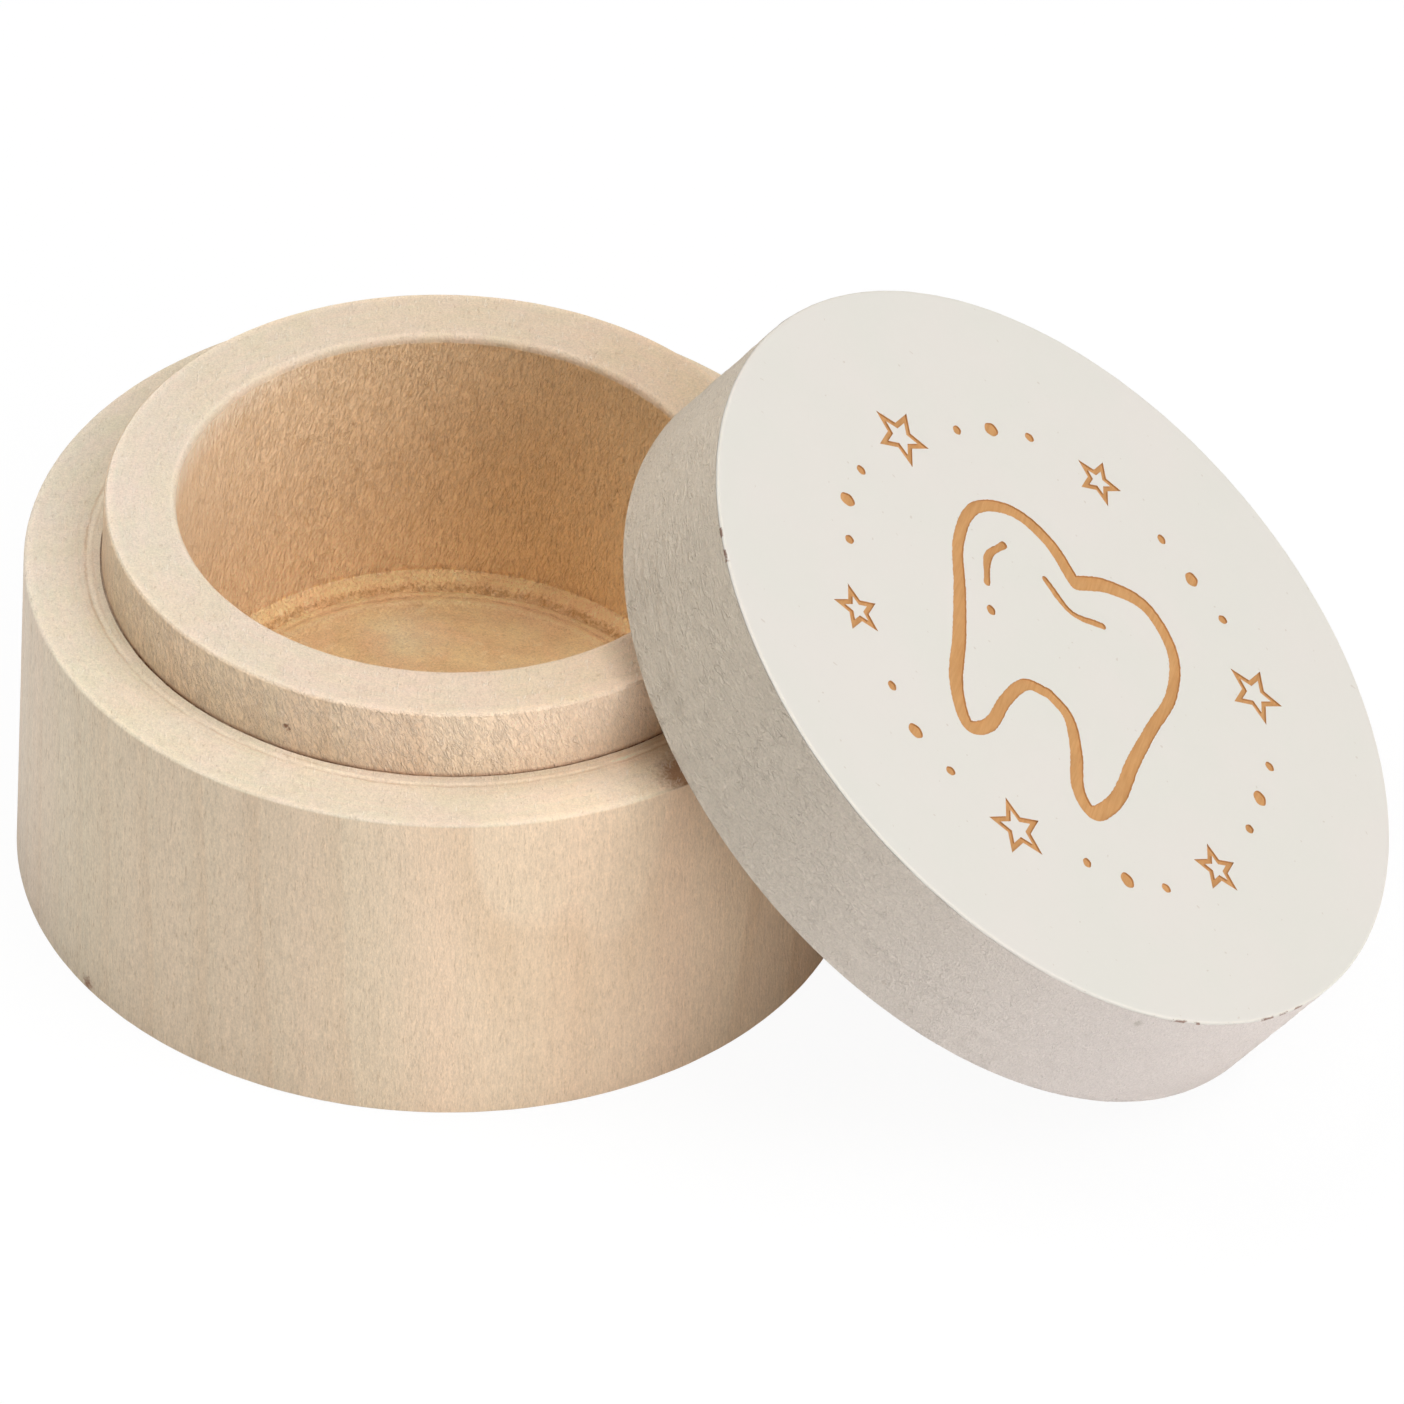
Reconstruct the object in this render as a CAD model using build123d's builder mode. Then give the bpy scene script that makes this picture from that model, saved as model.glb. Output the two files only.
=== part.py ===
"""Turned wooden baby tooth box in millimetres: a cup with a spigot, and its lid leaning against it.

The cup stands at the origin with its underside on the ground and +Z up. The lid is off: its low edge
stands on the ground on the +X side, and the mouth of its recess rests over the edge of the spigot.
"""
from build123d import *
from math import asin, atan2, cos, degrees, hypot, radians, sin, sqrt
import os

# Widths from the axis outwards: the bore, the wall round it, and the rim of the lid over the shoulder
bore_radius = 15.8
spigot_wall = 4.2
spigot_flare = 0.1
recess_clearance = 0.6
lid_rim_width = 4.3

# How much narrower the cup is at its shoulder than on the ground
wall_taper = 0.35

# Heights of the cup, from the ground up
floor_thickness = 7.3
bore_depth = 18.35
spigot_height = 4.4

# Heights of the lid: its recess clears the top of the spigot
recess_headroom = 0.5
lid_top_thickness = 4.1

# Eased edges and corners
top_edge_round = 0.2
low_edge_chamfer = 0.1
spigot_edge_chamfer = 0.15
bore_mouth_round = 0.45
bore_floor_bevel = 0.8
recess_mouth_chamfer = 0.3

# Groove that the parting tool leaves round the foot of the spigot
foot_groove_width = 0.3
foot_groove_depth = 0.45

# Marks of the gouge on the floor of the cup, inside a narrow land: a groove, then a ridge
floor_land_width = 0.05
floor_groove_width = 0.9
floor_groove_depth = 0.25
floor_ridge_width = 0.8
floor_ridge_height = 0.15

# How the lid leans: it touches the spigot at two points, this far round its mouth from the highest one
contact_angle = 30.8
lean_gap = 0.05

# Radii that follow: the spigot at its top and foot, the recess that goes over it, and both outsides
spigot_radius = bore_radius + spigot_wall
spigot_foot_radius = spigot_radius + spigot_flare
recess_radius = spigot_foot_radius + recess_clearance
outer_radius = recess_radius + lid_rim_width
shoulder_radius = outer_radius - wall_taper

# Radii of the marks on the floor, from the bevel inwards
floor_land_radius = bore_radius - bore_floor_bevel - floor_land_width
floor_groove_radius = floor_land_radius - floor_groove_width / 2
floor_ridge_radius = floor_groove_radius - (floor_groove_width + floor_ridge_width) / 2

# Heights that follow
spigot_top = floor_thickness + bore_depth
shoulder_height = spigot_top - spigot_height
recess_depth = spigot_height + recess_headroom
lid_thickness = recess_depth + lid_top_thickness

# Places of the two points of contact on the mouth of the recess, up the lid and to each side
contact_reach = recess_radius * cos(radians(contact_angle))
contact_offset = recess_radius * sin(radians(contact_angle))

# Tilt from level that puts those points at the height of the spigot's top, with the low edge on the
# ground. The lid stands on whichever corner of its chamfer comes down first.
low_corners = [
    (outer_radius - low_edge_chamfer, 0),
    (outer_radius, low_edge_chamfer),
]
lid_tilt = min(
    asin(spigot_top / hypot(corner_radius + contact_reach, corner_height))
    + atan2(corner_height, corner_radius + contact_reach)
    for corner_radius, corner_height in low_corners
)

# Centre of the mouth of the recess, with the points of contact beside the circle of the spigot's edge
mouth_centre_height = spigot_top - contact_reach * sin(lid_tilt)
mouth_centre_reach = sqrt(spigot_radius**2 - contact_offset**2) + contact_reach * cos(lid_tilt) + lean_gap

# Section plane of the lid: its local X runs down the lean, its local Y is the axis of the lid
lid_section = Plane(
    origin=(mouth_centre_reach, 0, mouth_centre_height),
    x_dir=(cos(lid_tilt), 0, -sin(lid_tilt)),
    z_dir=(0, -1, 0),
)
lid_axis = Axis(lid_section.origin, lid_section.y_dir)


def turned_outline(corners):
    """Closed outline of a turned piece, from its corners as radius, height and rounding."""
    points = [(radius, height) for radius, height, rounding in corners]
    roundings = [rounding for radius, height, rounding in corners]
    return FilletPolyline(*points, radius=roundings, close=True)


# Cup: up its side, over the shoulder and the spigot, down the bore and in across the floor
with BuildPart() as cup:
    with BuildSketch(Plane.XZ):
        with BuildLine():
            turned_outline(
                [
                    (0, 0, 0),
                    (outer_radius - low_edge_chamfer, 0, 0),
                    (outer_radius, low_edge_chamfer, 0),
                    (shoulder_radius, shoulder_height, top_edge_round),
                    (spigot_foot_radius + foot_groove_width, shoulder_height, 0),
                    (spigot_foot_radius, shoulder_height - foot_groove_depth, 0),
                    (spigot_foot_radius, shoulder_height, 0),
                    (spigot_radius, spigot_top - spigot_edge_chamfer, 0),
                    (spigot_radius - spigot_edge_chamfer, spigot_top, 0),
                    (bore_radius, spigot_top, bore_mouth_round),
                    (bore_radius, floor_thickness + bore_floor_bevel, 0),
                    (bore_radius - bore_floor_bevel, floor_thickness, 0),
                    (floor_land_radius, floor_thickness, 0),
                    (floor_groove_radius, floor_thickness - floor_groove_depth, 0),
                    (floor_groove_radius - floor_groove_width / 2, floor_thickness, 0),
                    (floor_ridge_radius, floor_thickness + floor_ridge_height, 0),
                    (floor_ridge_radius - floor_ridge_width / 2, floor_thickness, 0),
                    (0, floor_thickness, 0),
                ]
            )
        make_face()
    revolve(axis=Axis.Z)

# Lid: out across the ceiling of its recess, down to the mouth, round the rim and over the top
with BuildPart() as lid:
    with BuildSketch(lid_section):
        with BuildLine():
            turned_outline(
                [
                    (0, recess_depth, 0),
                    (recess_radius, recess_depth, 0),
                    (recess_radius, recess_mouth_chamfer, 0),
                    (recess_radius + recess_mouth_chamfer, 0, 0),
                    (outer_radius - low_edge_chamfer, 0, 0),
                    (outer_radius, low_edge_chamfer, 0),
                    (outer_radius, lid_thickness, top_edge_round),
                    (0, lid_thickness, 0),
                ]
            )
        make_face()
    revolve(axis=lid_axis)

cup.part.label = "cup"
lid.part.label = "lid"

os.makedirs("parts", exist_ok=True)
export_step(cup.part, "parts/cup.step")
export_step(lid.part, "parts/lid.step")

print("lid tilt in degrees", round(degrees(lid_tilt), 3))
print("centre of the lid's mouth", round(mouth_centre_reach, 3), round(mouth_centre_height, 3))
print("lowest point of the lid", round(lid.part.bounding_box().min.Z, 3))
print("gap between the lid and the cup", round(cup.part.distance_to(lid.part), 3))
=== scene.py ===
"""Looks of a turned tooth box: an open cup of bare wood, with its painted lid leaning against it."""

import math

import bpy
import numpy as np
from mathutils import Matrix, Vector
from mathutils.geometry import delaunay_2d_cdt


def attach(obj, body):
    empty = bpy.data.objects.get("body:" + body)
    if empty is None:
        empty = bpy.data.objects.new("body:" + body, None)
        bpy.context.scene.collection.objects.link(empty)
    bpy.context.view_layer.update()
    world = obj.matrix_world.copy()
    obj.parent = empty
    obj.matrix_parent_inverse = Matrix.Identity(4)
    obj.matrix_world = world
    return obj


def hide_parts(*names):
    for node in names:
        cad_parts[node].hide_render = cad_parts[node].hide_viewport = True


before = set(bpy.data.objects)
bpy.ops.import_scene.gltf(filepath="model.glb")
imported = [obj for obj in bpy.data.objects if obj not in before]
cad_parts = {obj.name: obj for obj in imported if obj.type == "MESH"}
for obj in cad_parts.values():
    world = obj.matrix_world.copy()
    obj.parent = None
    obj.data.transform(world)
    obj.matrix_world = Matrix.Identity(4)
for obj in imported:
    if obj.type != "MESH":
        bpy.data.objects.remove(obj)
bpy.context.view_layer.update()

MM = 0.001

# Sizes of the turned pieces in millimetres, as in the CAD source
bore_radius = 15.8
spigot_wall = 4.2
spigot_flare = 0.1
recess_clearance = 0.6
lid_rim_width = 4.3
wall_taper = 0.35
floor_thickness = 7.3
bore_depth = 18.35
spigot_height = 4.4
recess_headroom = 0.5
lid_top_thickness = 4.1
top_edge_round = 0.2
low_edge_chamfer = 0.1
spigot_edge_chamfer = 0.15
bore_mouth_round = 0.45
bore_floor_bevel = 0.8
recess_mouth_chamfer = 0.3
foot_groove_width = 0.3
foot_groove_depth = 0.45
floor_land_width = 0.05
floor_groove_width = 0.9
floor_ridge_width = 0.8
contact_angle = 30.8
lean_gap = 0.05

# Small sizes that only the looks have, in millimetres: how far the golden wood rises above the bevel,
# the lines beside the spigot's foot and inside the floor's corner, and what torn fibres leave of the
# gouge's groove and ridge
gold_rise = 0.05
foot_line_gap = 1.0
floor_line_gap = 0.83
groove_lip = 0.06
torn_corner_inset = 0.1
torn_corner_depth = 0.14
torn_corner_width = 0.35
torn_corner_end_depth = 0.02
floor_line_depth = 0.03
worn_ridge_height = 0.1

spigot_radius = bore_radius + spigot_wall
foot_radius = spigot_radius + spigot_flare
recess_radius = foot_radius + recess_clearance
outer_radius = recess_radius + lid_rim_width
shoulder_radius = outer_radius - wall_taper
land_radius = bore_radius - bore_floor_bevel - floor_land_width
floor_groove_radius = land_radius - floor_groove_width / 2
ridge_radius = floor_groove_radius - (floor_groove_width + floor_ridge_width) / 2
spigot_top = floor_thickness + bore_depth
shoulder = spigot_top - spigot_height
recess_depth = spigot_height + recess_headroom
lid_thickness = recess_depth + lid_top_thickness

# Lean of the lid: its low edge on the ground, the mouth of its recess on two points of the spigot's edge
contact_reach = recess_radius * math.cos(math.radians(contact_angle))
contact_offset = recess_radius * math.sin(math.radians(contact_angle))
low_corners = [(outer_radius - low_edge_chamfer, 0), (outer_radius, low_edge_chamfer)]
lid_tilt = min(
    math.asin(spigot_top / math.hypot(radius + contact_reach, height))
    + math.atan2(height, radius + contact_reach)
    for radius, height in low_corners
)
mouth_height = spigot_top - contact_reach * math.sin(lid_tilt)
mouth_reach = math.sqrt(spigot_radius**2 - contact_offset**2) + contact_reach * math.cos(lid_tilt) + lean_gap
down_the_lean = Vector((math.cos(lid_tilt), 0, -math.sin(lid_tilt)))
lid_axis = Vector((math.sin(lid_tilt), 0, math.cos(lid_tilt)))
lid_place = Matrix((down_the_lean, (0, 1, 0), lid_axis)).transposed().to_4x4()
lid_place.translation = Vector((mouth_reach, 0, mouth_height)) * MM


# Turned meshes

segments = 900
theta = np.arange(segments) * 2 * math.pi / segments


def straight(start, end, steps):
    """Points along a straight run of an outline."""
    share = np.linspace(0, 1, steps + 1)[:, None]
    return np.array(start) * (1 - share) + np.array(end) * share


def arc(centre, radius, start, end, steps):
    """Points along a round of an outline, from one angle to another in degrees."""
    turn = np.radians(np.linspace(start, end, steps + 1))
    return np.array(centre) + radius * np.stack([np.cos(turn), np.sin(turn)], 1)


def value_noise(across, along, period, seed):
    """Smooth noise from -1 to 1 that repeats after a whole number of cells across."""
    table = np.random.RandomState(seed).uniform(-1, 1, (int(along.max()) + 2, period))
    column = np.floor(across).astype(int)
    row = np.floor(along).astype(int)
    x = across - column
    y = along - row
    x = x * x * (3 - 2 * x)
    y = y * y * (3 - 2 * y)
    left = column % period
    right = (column + 1) % period
    low = table[row, left] * (1 - x) + table[row, right] * x
    high = table[row + 1, left] * (1 - x) + table[row + 1, right] * x
    return low * (1 - y) + high * y


def fibres(turn, length, radius, width, height, seed, slant=0.0):
    """Noise in cells of a given width round the piece and height along its outline, both in millimetres."""
    period = max(3, round(2 * math.pi * radius / width))
    across = turn / (2 * math.pi) * period
    return value_noise(across + slant * length / width, length / height, period, seed)


def bump_round(turn, centre, spread):
    """Smooth bump from 0 to 1 round an angle in degrees."""
    gap = (turn - math.radians(centre) + math.pi) % (2 * math.pi) - math.pi
    return np.exp(-((gap / math.radians(spread)) ** 2))


def turned_mesh(runs, relief):
    """Points, faces and marks of a turned piece, from its outline as named runs of (radius, height) points.

    relief() gives how far a region's surface stands out, and its marks by name.
    """
    radius, height, region = [], [], []
    for label, points in runs:
        for r, h in points[1 if radius else 0:]:
            radius.append(r)
            height.append(h)
            region.append(label)
    radius, height = np.array(radius), np.array(height)
    steps = np.hypot(np.diff(radius), np.diff(height))
    length = np.concatenate([[0], np.cumsum(steps)])
    rise_r, rise_h = np.gradient(radius, length), np.gradient(height, length)
    size = np.hypot(rise_r, rise_h)
    normal_r, normal_h = rise_h / size, -rise_r / size

    rings = len(radius)
    out = np.zeros((rings, segments))
    marks = {}
    shares = np.zeros(rings)
    for label in dict.fromkeys(region):
        own = [i for i in range(rings) if region[i] == label]
        # With the ring that it shares with the region before it
        rows = ([own[0] - 1] if own[0] else []) + own
        around = theta + np.zeros((len(rows), 1))
        along = length[rows][:, None] + np.zeros(segments)
        heights, radii = height[rows][:, None], radius[rows][:, None]
        given, named = relief(label, around, along, radii.max(), heights, radii)
        out[rows] += given
        shares[rows] += 1
        for mark, value in named.items():
            kept = marks.setdefault(mark, np.zeros((rings, segments)))
            kept[own] = (value + np.zeros(around.shape))[-len(own):]
    out /= shares[:, None]

    r = np.maximum(radius[:, None] + out * normal_r[:, None], 0)
    h = height[:, None] + out * normal_h[:, None]
    places = np.stack([r * np.cos(theta), r * np.sin(theta), h + 0 * r], 2)

    vertices, first, kept_marks = [], [], {label: [] for label in marks}
    count = 0
    for i in range(rings):
        pole = radius[i] == 0
        vertices.append(places[i, :1] if pole else places[i])
        first.append((count, pole))
        count += 1 if pole else segments
        for label in marks:
            kept_marks[label].append(marks[label][i, :1] if pole else marks[label][i])
    faces = []
    j = np.arange(segments)
    k = (j + 1) % segments
    for (a, a_pole), (b, b_pole) in zip(first[:-1], first[1:]):
        if a_pole:
            faces += [(a, b + q, b + p) for p, q in zip(j.tolist(), k.tolist())]
        elif b_pole:
            faces += [(a + p, a + q, b) for p, q in zip(j.tolist(), k.tolist())]
        else:
            faces += [(a + p, a + q, b + q, b + p) for p, q in zip(j.tolist(), k.tolist())]
    points = np.concatenate(vertices)
    mesh_marks = {label: np.concatenate(parts) for label, parts in kept_marks.items()}
    return points, faces, mesh_marks


def as_object(name, points, faces, marks, materials, slots=None, sharp=38):
    """Smooth-shaded object from points in millimetres, with its marks as attributes."""
    mesh = bpy.data.meshes.new(name)
    mesh.from_pydata((points * MM).tolist(), [], faces)
    for label, values in marks.items():
        layer = mesh.attributes.new(label, "FLOAT", "POINT")
        layer.data.foreach_set("value", np.asarray(values, np.float32))
    for material in materials:
        mesh.materials.append(material)
    if slots is not None:
        mesh.polygons.foreach_set("material_index", slots)
    mesh.shade_smooth()
    mesh.set_sharp_from_angle(angle=math.radians(sharp))
    mesh.validate()
    mesh.update()
    made = bpy.data.objects.new(name, mesh)
    bpy.context.scene.collection.objects.link(made)
    return made


# Node helpers

def shade(red, green, blue):
    """Linear colour of an sRGB one given from 0 to 255."""
    def linear(value):
        value /= 255
        return value / 12.92 if value <= 0.04045 else ((value + 0.055) / 1.055) ** 2.4
    return (linear(red), linear(green), linear(blue), 1.0)


class Nodes:
    """Short calls that add the nodes of one material."""

    def __init__(self, name):
        self.material = bpy.data.materials.new(name)
        self.material.use_nodes = True
        self.tree = self.material.node_tree
        self.shader = self.tree.nodes["Principled BSDF"]
        place = self.add("TexCoord").outputs["Object"]
        self.mm = self.add("VectorMath", {0: place, "Scale": 1 / MM}, operation="SCALE").outputs[0]

    def add(self, kind, inputs=None, **settings):
        """Node of a kind, with its settings and with sockets or values for its inputs."""
        made = self.tree.nodes.new("ShaderNode" + kind)
        for name, value in settings.items():
            setattr(made, name, value)
        for name, value in (inputs or {}).items():
            if isinstance(value, bpy.types.NodeSocket):
                self.tree.links.new(value, made.inputs[name])
            else:
                made.inputs[name].default_value = value
        return made

    def stretch(self, cells, place=None):
        """Coordinates in cells of the given sizes in millimetres."""
        scale = tuple(1 / size for size in cells)
        return self.add("VectorMath", {0: place or self.mm, 1: scale}, operation="MULTIPLY").outputs[0]

    def spin(self, angle):
        """Coordinates turned round the axis of the piece."""
        inputs = {"Vector": self.mm, "Angle": angle}
        return self.add("VectorRotate", inputs, rotation_type="Z_AXIS").outputs[0]

    def noise(self, cells, detail=2.0, roughness=0.5, distortion=0.0, place=None):
        """Noise around 0.5 in cells of the given sizes in millimetres."""
        inputs = {"Vector": self.stretch(cells, place), "Scale": 1.0, "Detail": detail,
                  "Roughness": roughness, "Distortion": distortion}
        return self.add("TexNoise", inputs).outputs[0]

    def math(self, operation, a, b=0.0):
        """Result of one operation of the Math node."""
        return self.add("Math", {0: a, 1: b}, operation=operation).outputs[0]

    def less(self, a, b):
        """The first value less the second."""
        return self.math("SUBTRACT", a, b)

    def total(self, *values):
        """Sum of two or more values."""
        added = values[0]
        for value in values[1:]:
            added = self.math("ADD", added, value)
        return added

    def product(self, *values):
        """Product of two or more values."""
        product = values[0]
        for value in values[1:]:
            product = self.math("MULTIPLY", product, value)
        return product

    def hypot(self, a, b):
        """Length of the long side of a right triangle."""
        return self.math("SQRT", self.total(self.product(a, a), self.product(b, b)))

    def swing(self, value, reach):
        """Value of a noise around 0.5, taken to run about from -reach to reach."""
        return self.product(self.less(value, 0.5), 4 * reach)

    def near(self, place, inner, outer, uneven=0.0):
        """1 close to a point in millimetres and 0 beyond, with an uneven edge."""
        gap = self.add("VectorMath", {0: self.mm, 1: place}, operation="DISTANCE").outputs["Value"]
        gap = self.total(gap, self.swing(self.noise((0.2, 0.2, 0.2)), uneven))
        return self.span(gap, inner, outer, 1.0, 0.0)

    def at(self, value, middle, inner, outer):
        """1 where a value is close to a middle one, and 0 beyond."""
        gap = self.math("ABSOLUTE", self.less(value, middle))
        return self.span(gap, inner, outer, 1.0, 0.0)

    def span(self, value, low, high, to_low=0.0, to_high=1.0, kind="LINEAR"):
        """Value taken from one range to another, and held at its ends."""
        inputs = {"Value": value, "From Min": low, "From Max": high, "To Min": to_low, "To Max": to_high}
        return self.add("MapRange", inputs, interpolation_type=kind).outputs[0]

    def mix(self, factor, a, b, blend="MIX"):
        """Colour between two colours."""
        return self.add("Mix", {0: factor, 6: a, 7: b}, data_type="RGBA", blend_type=blend).outputs[2]

    def tint(self, colour, by, share=1.0):
        """Colour multiplied by another colour, in full or by a share."""
        return self.mix(share, colour, by, blend="MULTIPLY")

    def lift(self, colour, value):
        """Colour made lighter or darker by a value around 1."""
        return self.add("VectorMath", {0: colour, "Scale": value}, operation="SCALE").outputs[0]

    def mark(self, name):
        """Value of a mark of the mesh."""
        return self.add("Attribute", attribute_name=name).outputs["Fac"]

    def finish(self, colour, height, roughness, shine=0.3):
        """Links colour, relief in millimetres and roughness to the shader."""
        self.tree.links.new(colour, self.shader.inputs["Base Color"])
        self.tree.links.new(roughness, self.shader.inputs["Roughness"])
        relief = self.add("Bump", {"Height": height, "Distance": MM, "Strength": 1.0})
        self.tree.links.new(relief.outputs[0], self.shader.inputs["Normal"])
        self.tree.links.new(self.total(shine, 0.0), self.shader.inputs["Specular IOR Level"])
        return self.material


def on_round(radius, angle, height):
    """Place on a turned surface, from its radius, its angle round the axis in degrees and its height."""
    return (radius * math.cos(math.radians(angle)), radius * math.sin(math.radians(angle)), height)


# Where the golden floor starts, and radii of the lines that the tools leave
gold_top = floor_thickness + bore_floor_bevel + gold_rise
foot_line_radius = foot_radius + foot_line_gap
corner_radius = bore_radius - bore_floor_bevel
floor_line_radius = corner_radius - floor_line_gap

# Bare turned wood, with its fibres standing along the axis
pith = (-40.0, 70.0)
trunk_lean = -0.13
ring_width = 2.5
strand_twist = 0.02
nap_turn = math.radians(-12)

# Places on the cup: two pits on the spigot darkened with painted shade, a painted highlight beside them,
# a knot on the wall, a painted sheen on the floor, and on the shoulder a painted lighter place beside the lid
# and the painted brown shadow under it
spigot_pit = on_round(foot_radius - 0.04, -103.2, 22.92)
spigot_nick = on_round(foot_radius - 0.04, -102.6, 22.72)
spigot_pit_highlight = on_round(foot_radius - 0.04, -103.6, 22.68)
wall_knot = on_round(outer_radius, -131, 0.5)
painted_floor_sheen = (-4.5, 9.5, floor_thickness)
painted_light_beside_lid = (14.4, -15.3, shoulder)
painted_lid_shadow = (18.2, -15.4, shoulder)


def turned_wood():
    """Material of the cup."""
    n = Nodes("turned_wood")
    torn, grime, bore, flat, light = map(n.mark, ("torn", "grime", "bore", "flat", "light"))
    x, y, z = n.add("SeparateXYZ", {0: n.mm}).outputs
    reach = n.hypot(x, y)

    # Growth rings round a pith outside the piece, leaning with the trunk and of uneven strength
    trunk_x = n.less(x, n.total(n.product(z, trunk_lean), pith[0]))
    away = n.hypot(trunk_x, n.less(y, pith[1]))
    wander = n.product(n.noise((12, 12, 40)), 2.4)
    ring = n.math("FRACT", n.math("DIVIDE", n.total(away, wander), ring_width))
    late = n.product(n.span(ring, 0.6, 0.95, kind="SMOOTHSTEP"), n.span(ring, 0.95, 1.0, 1.0, 0.0))
    on_wall = n.total(1.0, n.product(flat, -0.7))
    uneven = n.product(n.span(n.noise((4, 4, 50)), 0.4, 0.6, 0.4, 1.0), n.span(x, -14, -4, 0.4, 1.0))
    late = n.product(late, uneven, on_wall)
    early = n.product(n.span(ring, 0.0, 0.45, 1.0, 0.0), on_wall)

    # The floor and its bevel are more golden than the bore, from a ragged line down
    fray = n.swing(n.noise((0.22, 0.22, 0.5), 3.0, 0.65), 0.22)
    frayed_height = n.total(z, fray)
    gold = n.product(bore, n.span(frayed_height, gold_top - 0.1, gold_top + 0.1, 1.0, 0.0))

    # Fibres, and on torn surfaces the strands and hollows that the tool leaves, slanting up the piece
    slanting = n.spin(n.product(z, strand_twist))
    broad = n.noise((5, 5, 70))
    cloud = n.noise((2.2, 2.2, 4), 3.0, 0.55)
    mottle = n.noise((0.7, 0.7, 1.1), 3.0, 0.6)
    streak = n.noise((0.45, 0.45, 12))
    fine = n.noise((0.17, 0.17, 0.8), 3.0, 0.7)
    finer = n.noise((0.11, 0.11, 0.2), 2.0, 0.65)
    tuft = n.noise((0.2, 0.2, 0.5), 3.0, 0.65, distortion=0.9, place=slanting)
    curl = n.noise((0.34, 0.34, 0.8), 2.0, 0.5, distortion=0.8, place=slanting)
    hair = n.span(n.noise((0.13, 0.13, 1.0), 2.0, 0.6, distortion=0.5, place=slanting), 0.57, 0.67)
    split = n.span(n.noise((0.12, 0.12, 0.8), 2.0, 0.6, distortion=0.4), 0.58, 0.7)
    laid = n.spin(nap_turn)
    nap = n.noise((0.13, 0.5, 0.3), 3.0, 0.65, place=laid)
    fleck = n.span(n.noise((0.16, 0.6, 0.3), 2.0, 0.6, distortion=0.3, place=laid), 0.58, 0.72)
    dint = n.span(n.noise((0.2, 0.4, 0.3), 2.0, 0.6, distortion=0.5, place=laid), 0.63, 0.75)
    ragged = n.span(n.noise((0.3, 0.3, 0.3), 3.0, 0.7, distortion=0.5), 0.38, 0.58)
    strand = n.span(n.math("ABSOLUTE", n.less(curl, 0.5)), 0.0, 0.06, 1.0, 0.0)

    across = n.span(x, -25, 15)
    by_left = n.mix(n.span(x, -25, -16), shade(235, 219, 202), shade(234, 217, 192))
    colour = n.mix(across, by_left, shade(232, 205, 177))
    tint = n.mix(n.span(broad, 0.38, 0.62), (0.983, 1.0, 0.99, 1), (1.01, 0.995, 0.982, 1))
    colour = n.tint(colour, tint)
    colour = n.tint(colour, (0.93, 0.91, 0.86, 1), n.span(y, -5, 22, 0.0, 0.9))
    colour = n.mix(n.product(late, 0.34), colour, shade(208, 176, 140))
    colour = n.tint(colour, (0.96, 1.0, 0.99, 1), n.product(early, 0.25))
    outside = n.product(torn, n.less(1.0, bore))
    warmer = n.mix(across, (1.0, 0.87, 0.71, 1), (1.235, 1.25, 1.305, 1))
    colour = n.tint(colour, warmer, outside)
    golden = n.mix(across, shade(244, 219, 191), shade(237, 203, 153))
    colour = n.mix(bore, colour, golden)
    floor_wood = n.mix(n.span(cloud, 0.35, 0.65), shade(250, 223, 172), shade(239, 204, 155))
    floor_wood = n.mix(n.product(n.span(mottle, 0.58, 0.72), 0.5), floor_wood, shade(255, 236, 200))
    # A painted sheen on the floor: a pale patch that stands for light
    floor_wood = n.mix(n.product(n.near(painted_floor_sheen, 0.4, 3.2, 0.6), 0.65), floor_wood, shade(255, 244, 208))
    rosy = n.span(n.noise((3.1, 3.1, 3.1)), 0.5, 0.66)
    floor_wood = n.mix(n.product(rosy, 0.4), floor_wood, shade(246, 202, 162))
    colour = n.mix(gold, colour, floor_wood)

    # Streaks round the flat faces, and scratches round the foot of the spigot and on the floor
    around = n.add("CombineXYZ", {0: reach, 1: n.product(x, 0.03), 2: n.product(y, 0.03)}).outputs[0]
    streaks = n.span(n.noise((0.3, 0.1, 0.1), 3.0, 0.6, place=around), 0.38, 0.62)
    paler = n.mix(streaks, (0.9, 0.94, 0.955, 1), (0.93, 0.94, 0.965, 1))
    colour = n.tint(colour, paler, flat)
    on_shoulder = n.product(flat, n.span(z, shoulder + 0.2, shoulder + 0.6, 1.0, 0.0))
    cooler = n.mix(across, (1.02, 1.025, 0.965, 1), (0.93, 0.985, 1.03, 1))
    colour = n.tint(colour, cooler, on_shoulder)
    patch = n.mix(n.span(cloud, 0.38, 0.62), (1.0, 1.005, 0.985, 1), (1.005, 0.99, 1.01, 1))
    patch = n.tint(patch, n.mix(n.span(x, 2, 12), (1.0, 1.0, 1.035, 1), (0.995, 0.985, 0.965, 1)))
    colour = n.tint(colour, patch, flat)
    arcs = n.swing(n.noise((0.7, 0.25, 0.25), 2.0, 0.6, place=around), 0.035)
    scratch = n.span(n.noise((0.16, 0.16, 0.16), 2.0, 0.6, place=around), 0.5, 0.7)
    by_foot = n.product(n.span(reach, foot_radius + 0.3, foot_radius + 2.2, 1.0, 0.0), on_shoulder)
    scratch = n.product(scratch, n.total(n.product(by_foot, 0.4), n.product(gold, 0.14)))
    colour = n.mix(scratch, colour, shade(200, 168, 130))
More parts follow.
